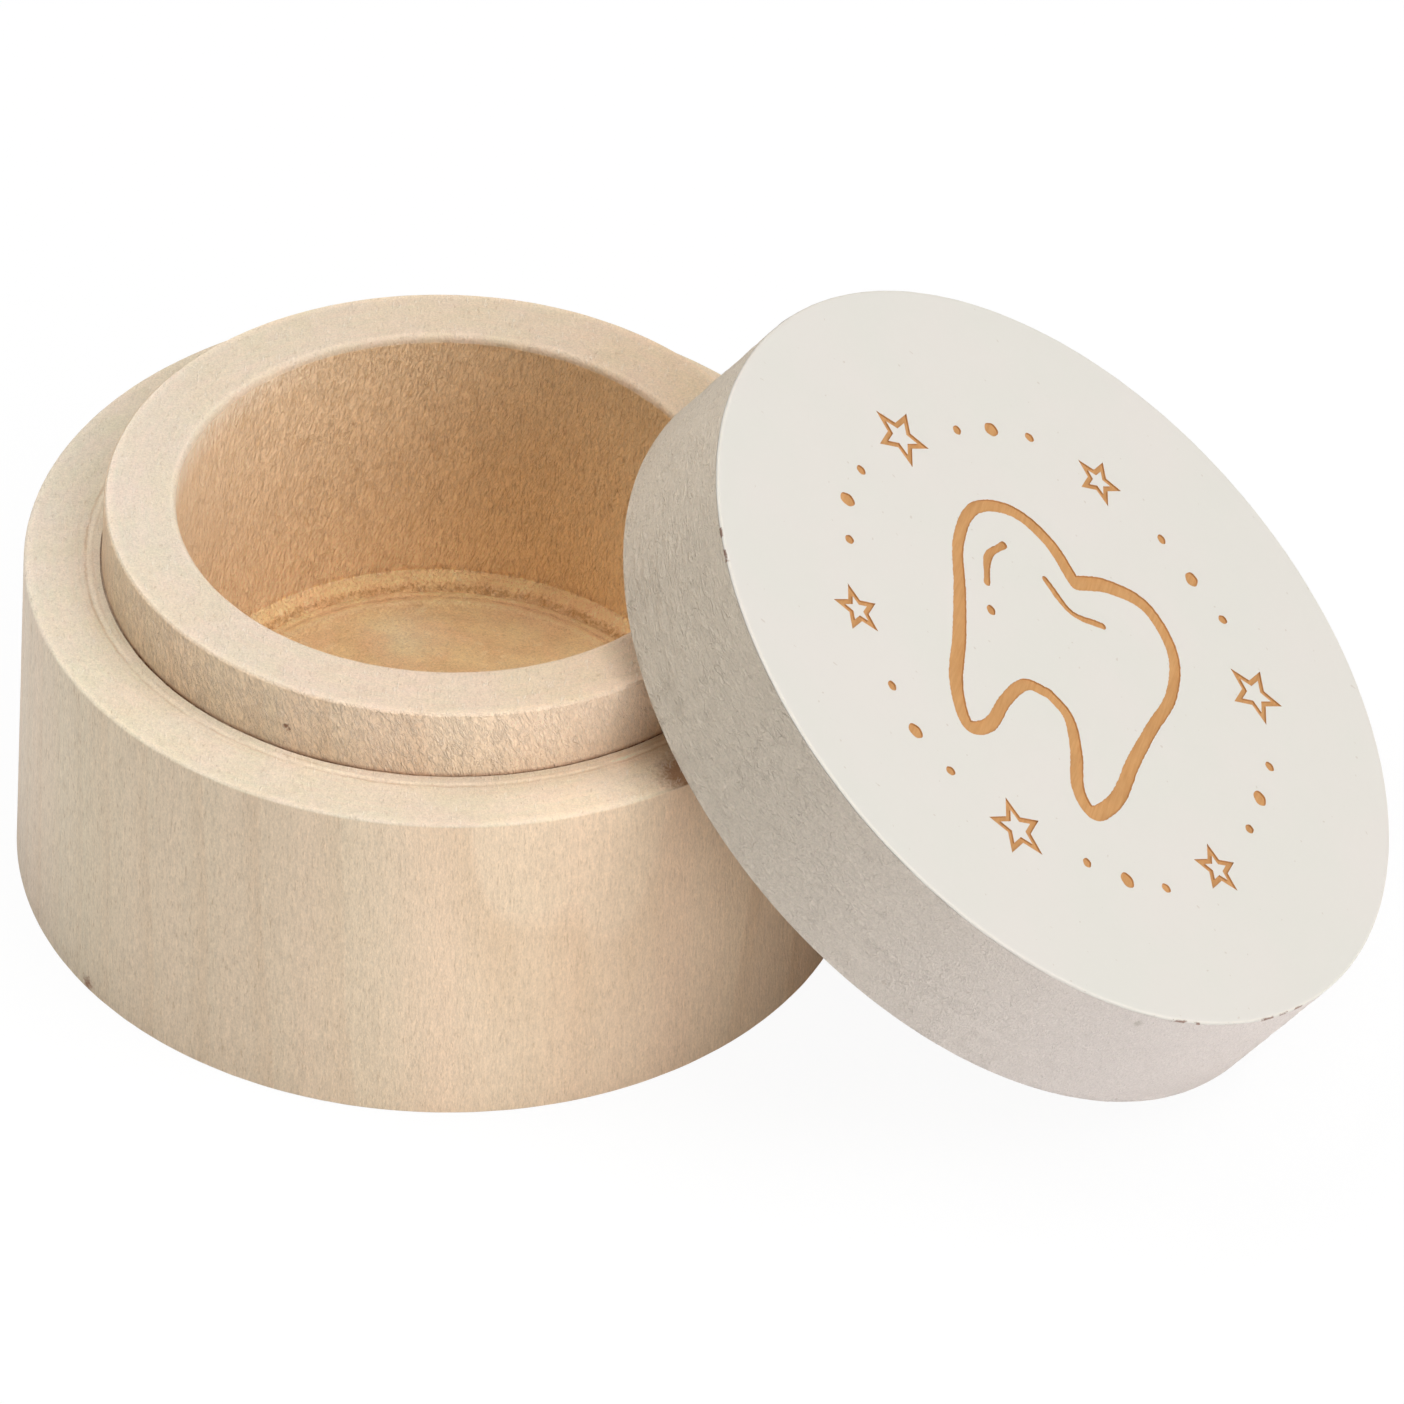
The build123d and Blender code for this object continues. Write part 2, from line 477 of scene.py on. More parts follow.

    # Lines that the tools leave, with their light and shade painted: round the foot of the spigot, in the
    # torn corner of the floor and inside it
    wobbly_reach = n.total(reach, n.swing(n.noise((0.7, 0.7, 0.7), 2.0, 0.6), 0.06))
    patchy = n.span(n.noise((1.6, 1.6, 1.6), 2.0, 0.6), 0.35, 0.6, 0.3, 1.0)
    # Painted shade and a painted highlight on the shoulder, in rings beside the spigot's foot
    painted_shade_foot_ring = n.product(n.at(wobbly_reach, foot_line_radius, 0.03, 0.1), on_shoulder, patchy)
    painted_highlight_foot_ring = n.product(n.at(wobbly_reach, foot_line_radius - 0.25, 0.05, 0.16), on_shoulder, patchy)
    tuft_gap = n.span(n.noise((0.42, 0.42, 0.5), 3.0, 0.62, distortion=0.9, place=slanting), 0.42, 0.58)
    # The torn corner of the floor darker, partly as torn wood and partly as painted shade
    corner = n.at(n.total(reach, fray), corner_radius, 0.06, 0.3)
    corner = n.product(corner, gold, n.span(tuft_gap, 0.0, 1.0, 0.45, 1.0))
    # Painted shade in the shallow line inside the floor, and a painted highlight on the ridge beside it
    painted_shade_floor_line = n.product(n.at(wobbly_reach, floor_line_radius, 0.04, 0.2), gold, patchy)
    painted_highlight_ridge = n.product(n.at(wobbly_reach, ridge_radius, 0.1, 0.3), gold)
    torn_top = n.product(n.at(frayed_height, gold_top + 0.12, 0.04, 0.24), bore, tuft_gap)
    colour = n.mix(n.product(painted_shade_foot_ring, 0.4), colour, shade(186, 146, 108))
    colour = n.mix(n.product(painted_highlight_foot_ring, 0.35), colour, shade(255, 240, 218))
    colour = n.mix(n.total(n.product(corner, 0.6), n.product(painted_shade_floor_line, 0.3)), colour, shade(160, 100, 50))
    colour = n.mix(n.product(painted_highlight_ridge, 0.25), colour, shade(255, 236, 196))
    colour = n.mix(n.product(torn_top, 0.28), colour, shade(160, 104, 58))

    # Lightness: first of the fibres, then painted light and shade on the edges, the rim, the shoulder, the
    # wall, the bore, the floor's corner and beside the lid
    only_bore = n.less(bore, gold)
    value = n.total(n.swing(fine, 0.11), n.swing(finer, 0.1), n.swing(streak, 0.022), n.swing(mottle, 0.03))
    value = n.product(value, n.total(1.0, n.product(outside, 0.2), n.product(only_bore, 0.3)))
    value = n.total(value, n.product(n.swing(nap, 0.05), flat))
    on_rim = n.product(flat, n.span(z, spigot_top - 0.3, spigot_top - 0.1))
    # Painted highlight on the rim towards the spigot's outer edge
    painted_highlight_by_rim_edge = n.product(on_rim, n.span(reach, spigot_radius - 0.8, spigot_radius - 0.2, 0.0, 0.04))
    # Painted light on the left of the shoulder beside the spigot's foot, where the spigot's shadow falls
    painted_light_beside_foot = n.product(by_foot, n.span(x, -20, -8, 1.0, 0.0), n.span(y, -8, 6, 0.08, 0.19))
    # Painted shade: the wall darker towards the bottom
    painted_shade_low_wall = n.product(n.span(z, 0, 10, -0.08, 0.0), n.less(1.0, bore))
    # Painted light: the bore lighter towards its bottom and on the left, and a little darker on the right
    painted_light_low_bore = n.total(n.span(z, gold_top, gold_top + 8, 0.13, 0.0), n.span(x, -15, 12, 0.1, -0.03))
    painted_light_low_bore = n.product(painted_light_low_bore, only_bore)
    # Painted light on the floor towards its corner, and on its left
    painted_light_by_corner = n.span(reach, corner_radius - 2.5, corner_radius - 0.2, 0.0, 0.17)
    painted_light_by_corner = n.product(gold, n.total(painted_light_by_corner, n.span(x, -9, 3, 0.06, 0.0)))
    only_wall = n.total(1.0, n.product(flat, -1.0), n.product(torn, -1.0))
    # Painted light and shade across the wall, darker on the left and lighter towards the right
    painted_light_across_wall = n.total(n.span(x, -24, -17, -0.045, -0.1), n.span(x, -4, 6, 0.0, 0.1))
    painted_light_across_wall = n.product(n.total(painted_light_across_wall, n.span(x, 9, 16, 0.0, -0.03)), only_wall)
    # Painted light on the shoulder beside the lid, where its shadow falls, and painted shade on the spigot
    # next to it
    painted_light_and_shade_by_lid = n.total(n.span(x, 7, 12, 0.0, 0.17), n.product(n.near(painted_light_beside_lid, 0.2, 1.7), 0.28))
    painted_light_and_shade_by_lid = n.total(n.product(on_shoulder, painted_light_and_shade_by_lid), n.product(outside, n.span(x, 10.5, 14, 0.0, -0.1)))
    # The light mark paints a highlight on the rounded edges
    value = n.total(value, n.swing(cloud, 0.012), painted_shade_low_wall, painted_light_low_bore, n.product(light, 0.09), painted_highlight_by_rim_edge)
    value = n.total(value, painted_light_beside_foot, painted_light_across_wall, painted_light_and_shade_by_lid, painted_light_by_corner, n.product(arcs, gold), 1.01)
    # Painted brown shadow of the lid on the shoulder, under where it leans
    colour = n.mix(n.product(n.near(painted_lid_shadow, 1.0, 2.2, 0.3), on_shoulder, 0.9), colour, shade(130, 92, 62))
    colour = n.lift(colour, value)
    tick = n.span(n.noise((0.1, 0.1, 0.7), 2.0, 0.6, distortion=0.7), 0.58, 0.68)
    colour = n.mix(n.product(tick, only_wall, n.span(x, -20, 16, 0.46, 0.32)), colour, shade(172, 140, 104))
    # Painted highlight: the top of the bore on the left, at the mouth, paler and lighter
    painted_highlight_left_mouth = n.product(n.span(z, spigot_top - 2.6, spigot_top - 0.5), bore)
    painted_highlight_left_mouth = n.product(painted_highlight_left_mouth, n.span(x, -15.6, -10, 0.9, 0.0))
    colour = n.mix(painted_highlight_left_mouth, colour, shade(255, 240, 220))
    colour = n.lift(colour, n.total(1.0, n.product(painted_highlight_left_mouth, 0.13)))

    # Loose and broken fibres, scratches, dark spots, and painted shade in the groove round the spigot's foot
    # and just above it
    fuzz = n.product(n.span(tuft, 0.5, 0.68), torn)
    strand = n.product(strand, n.span(mottle, 0.46, 0.6), torn)
    # Strands beside the pits on the spigot are paler, as a painted highlight
    pale_hair = n.total(0.24, n.product(outside, 0.1), n.near(spigot_pit_highlight, 0.05, 0.22, 0.1))
    pale = n.mix(bore, shade(255, 236, 216), shade(255, 226, 182))
    colour = n.mix(n.product(n.math("MAXIMUM", fuzz, strand), pale_hair), colour, pale)
    light_hair = n.mix(bore, shade(255, 236, 212), shade(255, 222, 172))
    colour = n.mix(n.product(hair, torn, n.total(0.3, n.product(bore, 0.22))), colour, light_hair)
    colour = n.mix(n.product(split, bore, torn, n.span(x, -12, 10, 0.14, 0.4)), colour, shade(156, 96, 50))
    colour = n.mix(n.product(fleck, flat, 0.3), colour, shade(255, 246, 232))
    colour = n.mix(n.product(dint, flat, 0.22), colour, shade(186, 150, 118))
    # Warm painted shade and reflected light on the spigot just above the groove at its foot
    painted_shade_above_groove = n.product(outside, n.span(z, shoulder, shoulder + 0.25, 0.5, 0.0))
    colour = n.mix(painted_shade_above_groove, colour, shade(190, 128, 78))
    # Painted shade in the groove round the spigot's foot, broken up unevenly
    grime = n.product(grime, n.span(ragged, 0.0, 1.0, 0.45, 1.0), 0.9)
    # The two pits on the spigot are dented and darkened with painted shade; the knot on the wall is darkened
    # too
    spots = n.total(n.near(spigot_pit, 0.06, 0.2, 0.1), n.near(spigot_nick, 0.05, 0.18, 0.1))
    knot_and_pits = n.product(n.total(spots, n.near(wall_knot, 0.0, 0.6, 0.25)), 0.8)
    colour = n.mix(n.total(grime, knot_and_pits), colour, shade(124, 64, 26))

    height = n.total(n.product(fine, 0.04), n.product(finer, 0.03), n.product(knot_and_pits, -0.08))
    coat = n.total(n.product(fuzz, 0.07), n.product(strand, 0.05), n.product(hair, torn, 0.06))
    coat = n.total(coat, n.product(split, bore, -0.04), n.product(mottle, torn, 0.07))
    calmer = n.total(1.0, n.product(bore, -0.3), n.product(outside, n.span(x, 2, 12, 0.0, -0.5)))
    height = n.total(height, n.product(coat, calmer))
    height = n.total(height, n.product(n.total(fleck, n.product(dint, -1.0), nap), flat, 0.03))
    shine = n.span(n.total(grime, corner), 0.0, 0.6, 0.3, 0.0)
    return n.finish(colour, height, n.span(fine, 0.3, 0.7, 0.62, 0.74), shine)


# Cream paint on the lid, thin on its side, over wood whose fibres run across the lid
lid_fibres = math.radians(-30)
upper_edge = (outer_radius - 0.02, lid_thickness - 0.15)
edge_dent = on_round(outer_radius, -59, lid_thickness - 1.05)


def lid_paint():
    """Material of the lid, and of the bare wood in its recess."""
    n = Nodes("lid_paint")
    side, bare, wear, edge = map(n.mark, ("side", "bare", "wear", "edge"))
    x, y, z = n.add("SeparateXYZ", {0: n.mm}).outputs
    reach = n.hypot(x, y)
    laid = n.spin(lid_fibres)
    brush = n.noise((0.2, 1.3, 0.2), 3.0, 0.65, distortion=0.5, place=laid)
    tuft = n.noise((0.3, 0.8, 0.32), 3.0, 0.65, distortion=1.2, place=laid)
    curl = n.noise((0.5, 1.5, 0.5), 2.0, 0.5, distortion=1.0, place=laid)
    finer = n.noise((0.12, 0.12, 0.12), 2.0, 0.6)
    stipple = n.noise((0.5, 0.5, 0.5), 3.0, 0.6)
    mottle = n.noise((1.1, 1.1, 1.1), 3.0, 0.6)
    cloud = n.noise((7, 7, 7))
    speck = n.span(n.noise((0.35, 0.35, 0.35), 0.0, 0.5), 0.83, 0.87)
    across = n.span(x, -22, 18, kind="SMOOTHSTEP")
    strand = n.span(n.math("ABSOLUTE", n.less(curl, 0.5)), 0.0, 0.06, 1.0, 0.0)
    strand = n.product(strand, n.span(mottle, 0.45, 0.6), side)

    top = n.mix(n.span(cloud, 0.35, 0.65), shade(211, 208, 200), shade(213, 208, 201))
    flank = n.mix(across, shade(222, 209, 190), shade(216, 206, 200))
    # Painted shade on the upper end of the lid's side, and painted light on its lower parts
    painted_shade_upper_side = n.total(n.span(x, -25, -22.5, 0.0, -0.17), n.span(x, -22.5, -16, 0.0, -0.05))
    painted_light_lower_side = n.total(n.span(x, -14, -3, 0.0, 0.12), n.span(x, 13, 22, 0.0, 0.11))
    flank = n.lift(flank, n.total(1.05, painted_shade_upper_side, painted_light_lower_side))
    rough = n.span(across, 0.2, 0.8, 1.0, 0.5)
    value = n.total(n.swing(brush, 0.08), n.swing(tuft, 0.06), n.swing(mottle, 0.02), n.product(strand, 0.1))
    flank = n.lift(flank, n.total(n.product(value, rough), n.swing(finer, 0.1), 0.985))
    colour = n.mix(side, top, flank)
    # Painted highlight along the lid's rounded upper edge
    painted_highlight_lid_edge = n.product(edge, n.span(x, -20, 8, 0.35, 0.25), n.span(stipple, 0.35, 0.65, 0.5, 1.3))
    colour = n.mix(painted_highlight_lid_edge, colour, shade(238, 226, 210))
    colour = n.mix(n.product(speck, 0.3), colour, shade(170, 150, 130))
    grain = n.span(n.noise((0.15, 2.2, 0.15), 3.0, 0.6), 0.3, 0.7)
    colour = n.mix(bare, colour, n.mix(grain, shade(222, 194, 160), shade(236, 212, 182)))

    # Chips are thin broken lines along the upper edge, where the wear mark is strong
    off_edge = n.hypot(n.less(reach, upper_edge[0]), n.less(z, upper_edge[1]))
    off_edge = n.total(off_edge, n.swing(n.noise((0.3, 0.3, 0.3), 3.0, 0.7), 0.07))
    broken = n.span(n.total(wear, n.swing(n.noise((0.35, 0.35, 0.35), 3.0, 0.7), 0.45)), 0.6, 0.75)
    chip = n.product(n.span(off_edge, 0.04, 0.13, 1.0, 0.0), broken)
    dent = n.near(edge_dent, 0.08, 0.3, 0.15)
    colour = n.mix(n.product(chip, 0.85), colour, shade(132, 92, 72))
    colour = n.mix(n.product(dent, 0.45), colour, shade(150, 140, 124))

    coat = n.total(n.product(brush, 0.14), n.product(tuft, 0.14))
    coat = n.total(coat, n.product(strand, 0.06), n.product(finer, 0.04))
    height = n.total(n.product(stipple, 0.006), n.product(coat, side, rough))
    height = n.less(height, n.product(n.total(chip, dent), 0.03))
    return n.finish(colour, height, n.span(stipple, 0.3, 0.7, 0.55, 0.66))


def engraved_wood():
    """Material of the darker wood at the bottom of the engraving."""
    n = Nodes("engraved_wood")
    grain = n.noise((0.18, 2.0, 0.18), 3.0, 0.6)
    cloud = n.noise((1.2, 1.2, 1.2), 2.0, 0.5)
    colour = n.mix(n.span(grain, 0.3, 0.7), shade(186, 136, 84), shade(200, 152, 100))
    colour = n.lift(colour, n.span(cloud, 0.3, 0.7, 0.96, 1.04))
    return n.finish(colour, n.math("MULTIPLY", grain, 0.01), n.span(grain, 0.3, 0.7, 0.7, 0.8))


# Cup

# Fibres close most of the groove round the foot of the spigot, and fill half its depth
groove_gap = 0.38 * foot_groove_width
groove_bottom = (foot_radius, shoulder - 0.5 * foot_groove_depth)
groove_top = shoulder - groove_lip
floor_top = floor_thickness

# Torn fibres half fill the gouge's groove on the floor, and leave a torn corner and a thin line of it
corner_bottom = (land_radius - torn_corner_inset, floor_top - torn_corner_depth)
corner_end = (land_radius - torn_corner_width, floor_top - torn_corner_end_depth)
line_bottom = (floor_line_radius, floor_top - floor_line_depth)
ridge_top = (ridge_radius, floor_top + worn_ridge_height)
ridge_end = ridge_radius - floor_ridge_width / 2
bore_top = spigot_top - bore_mouth_round - 0.1

# The round between the wall, which leans in by its taper, and the shoulder
wall_lean = math.atan2(wall_taper, shoulder - low_edge_chamfer)
edge_inset = top_edge_round * (1 / math.cos(wall_lean) - math.tan(wall_lean))
edge_centre = (shoulder_radius - edge_inset, shoulder - top_edge_round)
wall_top = (
    edge_centre[0] + top_edge_round * math.cos(wall_lean),
    edge_centre[1] + top_edge_round * math.sin(wall_lean),
)

# Ends of the spigot's chamfer and of the floor's bevel, and the round between the rim and the bore
spigot_edge_low = (spigot_radius, spigot_top - spigot_edge_chamfer)
spigot_edge_high = (spigot_radius - spigot_edge_chamfer, spigot_top)
mouth_centre = (bore_radius + bore_mouth_round, spigot_top - bore_mouth_round)
bevel_high = (bore_radius, floor_top + bore_floor_bevel)
bevel_low = (corner_radius, floor_top)

# Outline of the cup: up its side, over the shoulder and the spigot, down the bore and in across the floor
cup_runs = [
    ("underside", straight((0, 0), (outer_radius - low_edge_chamfer, 0), 4)),
    ("low_edge", straight((outer_radius - low_edge_chamfer, 0), (outer_radius, low_edge_chamfer), 1)),
    ("wall", straight((outer_radius, low_edge_chamfer), wall_top, 14)),
    ("edge", arc(edge_centre, top_edge_round, math.degrees(wall_lean), 90, 3)),
    ("shoulder", straight((edge_centre[0], shoulder), (foot_radius + groove_gap, shoulder), 9)),
    ("groove", straight((foot_radius + groove_gap, shoulder), groove_bottom, 1)),
    ("groove", straight(groove_bottom, (foot_radius, groove_top), 1)),
    ("spigot", straight((foot_radius, groove_top), (foot_radius, shoulder), 1)),
    ("spigot", straight((foot_radius, shoulder), spigot_edge_low, 16)),
    ("spigot_edge", straight(spigot_edge_low, spigot_edge_high, 1)),
    ("rim", straight(spigot_edge_high, (mouth_centre[0], spigot_top), 8)),
    ("mouth", arc(mouth_centre, bore_mouth_round, 90, 180, 4)),
    ("bore", straight((bore_radius, mouth_centre[1]), (bore_radius, bore_top), 1)),
    ("bore", straight((bore_radius, bore_top), bevel_high, 24)),
    ("bevel", straight(bevel_high, bevel_low, 3)),
    ("cut", straight(bevel_low, corner_bottom, 1)),
    ("cut", straight(corner_bottom, corner_end, 2)),
    ("ridge", straight(corner_end, line_bottom, 2)),
    ("ridge", straight(line_bottom, ridge_top, 2)),
    ("ridge", straight(ridge_top, (ridge_end, floor_top), 2)),
    ("floor", straight((ridge_end, floor_top), (0, floor_top), 7)),
]

# How each region of the cup is cut: depth of its relief, cell across, cell along, and how torn it is
cup_cut = {
    "underside": (0.0, 1.0, 1.0, 0.0),
    "low_edge": (0.02, 0.8, 1.0, 0.0),
    "wall": (0.004, 0.3, 5.0, 0.0),
    "edge": (0.012, 0.6, 0.4, 0.0),
    "shoulder": (0.006, 0.7, 0.7, 0.0),
    "groove": (0.04, 0.5, 0.3, 0.0),
    "spigot": (0.02, 0.35, 0.55, 1.0),
    "spigot_edge": (0.016, 0.4, 0.3, 0.1),
    "rim": (0.006, 0.6, 0.6, 0.0),
    "mouth": (0.012, 0.4, 0.5, 0.0),
    "bore": (0.05, 0.45, 0.9, 1.0),
    "bevel": (0.04, 0.4, 0.5, 0.7),
    "cut": (0.09, 0.4, 0.3, 1.0),
    "ridge": (0.05, 0.5, 0.4, 0.7),
    "floor": (0.010, 0.8, 0.8, 0.1),
}
# Where the groove round the foot is open: angle in degrees, spread, share
open_groove = [(-131, 17, 1.0), (-98, 9, 0.65), (-63, 8, 0.35), (-44, 14, 1.0), (60, 30, 0.8), (150, 40, 0.7)]
inside_regions = ("bore", "bevel", "cut", "ridge", "floor")
flat_regions = ("shoulder", "rim", "edge", "mouth", "spigot_edge")
# Rounded edges that are painted lighter, as a painted highlight
highlight_regions = ("edge", "mouth", "spigot_edge")


def cup_relief(region, turn, length, widest, height, radius):
    """Relief and marks of a region of the cup."""
    depth, across, along, torn = cup_cut[region]
    coarse = fibres(turn, length, widest, across * 2.2, along * 2, seed=11)
    fine = fibres(turn, length, widest, across, along, seed=23, slant=0.3 if torn else 0.0)
    out = depth * (0.5 * coarse + 0.5 * fine)
    if region in ("underside", "floor"):
        out = out * np.clip(radius / widest, 0, 1) ** 2
    grime = np.zeros_like(turn)
    # In the groove round the foot, a mark for the painted shade, strongest where the groove is open
    if region == "groove":
        open_part = sum(share * bump_round(turn, angle, spread) for angle, spread, share in open_groove)
        open_part = np.clip(open_part + 0.15 * fine, 0, 1)
        out = out + (height < groove_top) * (1 - open_part) * 0.2
        grime = 0.25 + 0.75 * open_part
    marks = {
        "torn": torn,
        "grime": np.clip(grime, 0, 1),
        "bore": float(region in inside_regions),
        "flat": float(region in flat_regions),
        "light": float(region in highlight_regions),
    }
    return out, marks


points, faces, marks = turned_mesh(cup_runs, cup_relief)
cup = as_object("cup_turned", points, faces, marks, [turned_wood()])
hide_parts("cup")
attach(cup, "cup")


# Engraving on the lid: a molar in the middle, with a ring of stars and dots

engraving_depth = 0.12
art_turn = math.radians(4.5)
tooth_line = 1.05
cheek_line = 0.6
root_line = 0.5
star_line = 0.34
ring_reach = 15.6


def smooth_line(corners, step=0.14):
    """Points close together along a smooth line through the corners."""
    corners = [np.array(c, float) for c in corners]
    corners = [2 * corners[0] - corners[1], *corners, 2 * corners[-1] - corners[-2]]
    line = []
    for a, b, c, d in zip(corners[:-3], corners[1:-2], corners[2:-1], corners[3:]):
        count = max(2, int(np.linalg.norm(c - b) / step))
        for t in np.arange(count) / count:
            bend = (2 * a - 5 * b + 4 * c - d) * t**2 + (3 * b - a - 3 * c + d) * t**3
            line.append(0.5 * (2 * b + (c - a) * t + bend))
    line.append(corners[-2])
    return np.array(line)


def stroke(corners, width, taper=0.12, ragged=0.022, seed=0):
    """Outline of a pen stroke with round ends, its width swelling a little, its edges slightly ragged."""
    line = smooth_line(corners)
    along = np.gradient(line, axis=0)
    along /= np.linalg.norm(along, axis=1)[:, None]
    side = np.stack([-along[:, 1], along[:, 0]], 1)
    share = np.linspace(0, 1, len(line))
    half = width / 2 * (1 - taper + taper * np.sin(share * math.pi * 3 + seed))[:, None]
    chance = np.random.RandomState(seed + 400)
    left = line + side * (half + chance.uniform(-ragged, ragged, half.shape))
    right = line - side * (half + chance.uniform(-ragged, ragged, half.shape))
    cap = np.linspace(0, math.pi, 7)[1:-1]
    end = [line[-1] + half[-1] * (side[-1] * math.cos(a) + along[-1] * math.sin(a)) for a in cap]
    start = [line[0] + half[0] * (-side[0] * math.cos(a) - along[0] * math.sin(a)) for a in cap]
    return np.concatenate([left, end, right[::-1], start])


def dot(centre, radius, seed=0):
    """Outline of a small filled dot, a little out of round."""
    turn = np.linspace(0, 2 * math.pi, 22, endpoint=False)
    size = radius * (1 + 0.06 * np.sin(turn * 2 + seed) + 0.03 * np.sin(turn * 5 + seed))
    return np.array(centre) + np.stack([np.cos(turn), np.sin(turn)], 1) * size[:, None]


def star(centre, size, turn, line_width):
    """Outer and inner outline of a five-pointed star drawn with a line of even width."""
    waist = 0.46
    angles = turn + np.arange(10) * math.pi / 5
    reach = np.where(np.arange(10) % 2 == 0, 1.0, waist)
    corners = np.stack([np.cos(angles), np.sin(angles)], 1) * reach[:, None] * size
    a, b = corners[0], corners[1]
    across = abs(a[0] * b[1] - a[1] * b[0]) / np.linalg.norm(b - a)
    return np.array(centre) + corners, np.array(centre) + corners * (1 - line_width / across)


def counter_clockwise(outline):
    """The outline in the order that has its inside on the left."""
    x, y = outline[:, 0], outline[:, 1]
    area = np.sum(x * np.roll(y, -1) - np.roll(x, -1) * y)
    return outline if area > 0 else outline[::-1]


def engraving():
    """Outlines of what is cut into the paint, and of what stands inside it, in the lid's own plane."""
    half_tooth = [(0, 6.3), (2.3, 7.9), (5.1, 8.4), (7.5, 6.3), (8.0, 2.9), (7.2, -0.7), (6.5, -4.3),
                  (6.0, -7.9), (4.7, -10.3), (3.3, -9.3), (2.6, -6.5), (1.6, -4.4), (0, -3.7)]
    cut = [
        stroke(half_tooth, tooth_line, seed=1),
        stroke([(-x * 1.02, y + 0.12 * math.sin(x)) for x, y in half_tooth], tooth_line, seed=2),
        stroke([(-5.2, 5.2), (-6.0, 3.5), (-5.7, 1.4)], cheek_line, seed=3),
        dot((-5.0, -0.5), 0.34, 4),
        stroke([(-2.0, 4.9), (0.2, 3.8), (2.5, 4.5)], root_line, seed=6),
    ]
    kept = []
    for i in range(6):
        turn = math.radians(90 + i * 60)
        centre = (ring_reach * math.cos(turn), ring_reach * math.sin(turn))
        outer, inner = star(centre, 2.1 if i % 2 else 1.75, turn + 0.25 * math.sin(i * 2.1), star_line)
        cut.append(outer)
        kept.append(inner)
        for step, size in ((-11, 0.32), (0, 0.5), (11, 0.32)):
            side = turn + math.radians(30 + step)
            reach = ring_reach + 0.35 * math.sin(i + step)
            cut.append(dot((reach * math.cos(side), reach * math.sin(side)), size, i + step))
    turn = np.array([[math.cos(art_turn), math.sin(art_turn)], [-math.sin(art_turn), math.cos(art_turn)]])
    return [outline @ turn for outline in cut], [outline @ turn for outline in kept]


def engraved_disc(radius, height):
    """Points, faces and material slots of the lid's flat top, with the engraving cut into it."""
    circle = np.stack([np.cos(theta), np.sin(theta)], 1) * radius
    cut, kept = engraving()
    outlines = [counter_clockwise(outline) for outline in (circle, *cut, *kept)]
    corners = [Vector(p) for outline in outlines for p in outline]
    loops, start = [], 0
    for outline in outlines:
        loops.append(list(range(start, start + len(outline))))
        start += len(outline)
    only_inside, weld_distance = 1, 1e-6
    flat, _, triangles, _, _, owners = delaunay_2d_cdt(corners, [], loops, only_inside, weld_distance, True)
    cut_ids = set(range(1, 1 + len(cut)))
    kept_ids = set(range(1 + len(cut), len(outlines)))
    low = [bool(cut_ids & set(ids)) and not kept_ids & set(ids) for ids in owners]
    points, faces, slots, index = [], [], [], {}

    def corner(i, sunk):
        if (i, sunk) not in index:
            index[i, sunk] = len(points)
            points.append((flat[i][0], flat[i][1], height - engraving_depth * sunk))
        return index[i, sunk]

    edge_owner = {}
    for face, sunk in zip(triangles, low):
        faces.append([corner(i, sunk) for i in face])
        slots.append(1 if sunk else 0)
        for a, b in zip(face, face[1:] + face[:1]):
            edge_owner[a, b] = sunk
    for (a, b), sunk in edge_owner.items():
        if sunk and edge_owner.get((b, a)) is False:
            faces.append([corner(b, True), corner(a, True), corner(a, False), corner(b, False)])
            slots.append(1)
    return np.array(points), faces, slots


# Lid

engraved_margin = 1.6
flat_radius = outer_radius - engraved_margin
lid_runs = [
    ("ceiling", straight((0, recess_depth), (recess_radius, recess_depth), 9)),
    ("recess", straight((recess_radius, recess_depth), (recess_radius, recess_mouth_chamfer), 8)),
    ("rim", straight((recess_radius, recess_mouth_chamfer), (recess_radius + recess_mouth_chamfer, 0), 1)),
    ("rim", straight((recess_radius + recess_mouth_chamfer, 0), (outer_radius - low_edge_chamfer, 0), 6)),
    ("low_edge", straight((outer_radius - low_edge_chamfer, 0), (outer_radius, low_edge_chamfer), 2)),
    ("side", straight((outer_radius, low_edge_chamfer), (outer_radius, lid_thickness - top_edge_round), 28)),
    ("edge", arc((outer_radius - top_edge_round, lid_thickness - top_edge_round), top_edge_round, 0, 90, 5)),
    ("top", straight((outer_radius - top_edge_round, lid_thickness), (flat_radius, lid_thickness), 5)),
]
# Where the paint is chipped along the lid's upper edge: angle in degrees, spread, share
edge_chips = [
    (-153.8, 1.1, 1.0), (-150.3, 1.4, 1.0), (-53.3, 1.6, 1.1), (-50, 1.2, 0.8), (-43, 3.0, 0.5),
    (-36, 1.8, 1.05), (-32.4, 1.2, 1.0), (-28.8, 1.3, 1.0), (138, 5.0, 0.6), (60, 4.0, 0.6),
    (95, 3.0, 0.5), (12, 5.0, 0.5), (-100, 2.0, 0.5),
]


# Depths of the lid's relief: wisps and tufts under the paint of its side, and the cut of its other faces
wisp_depth = 0.045
tuft_depth = 0.02
side_inset = 0.01
recess_depth_of_cut = 0.03
edge_depth_of_cut = 0.006
rim_depth_of_cut = 0.01


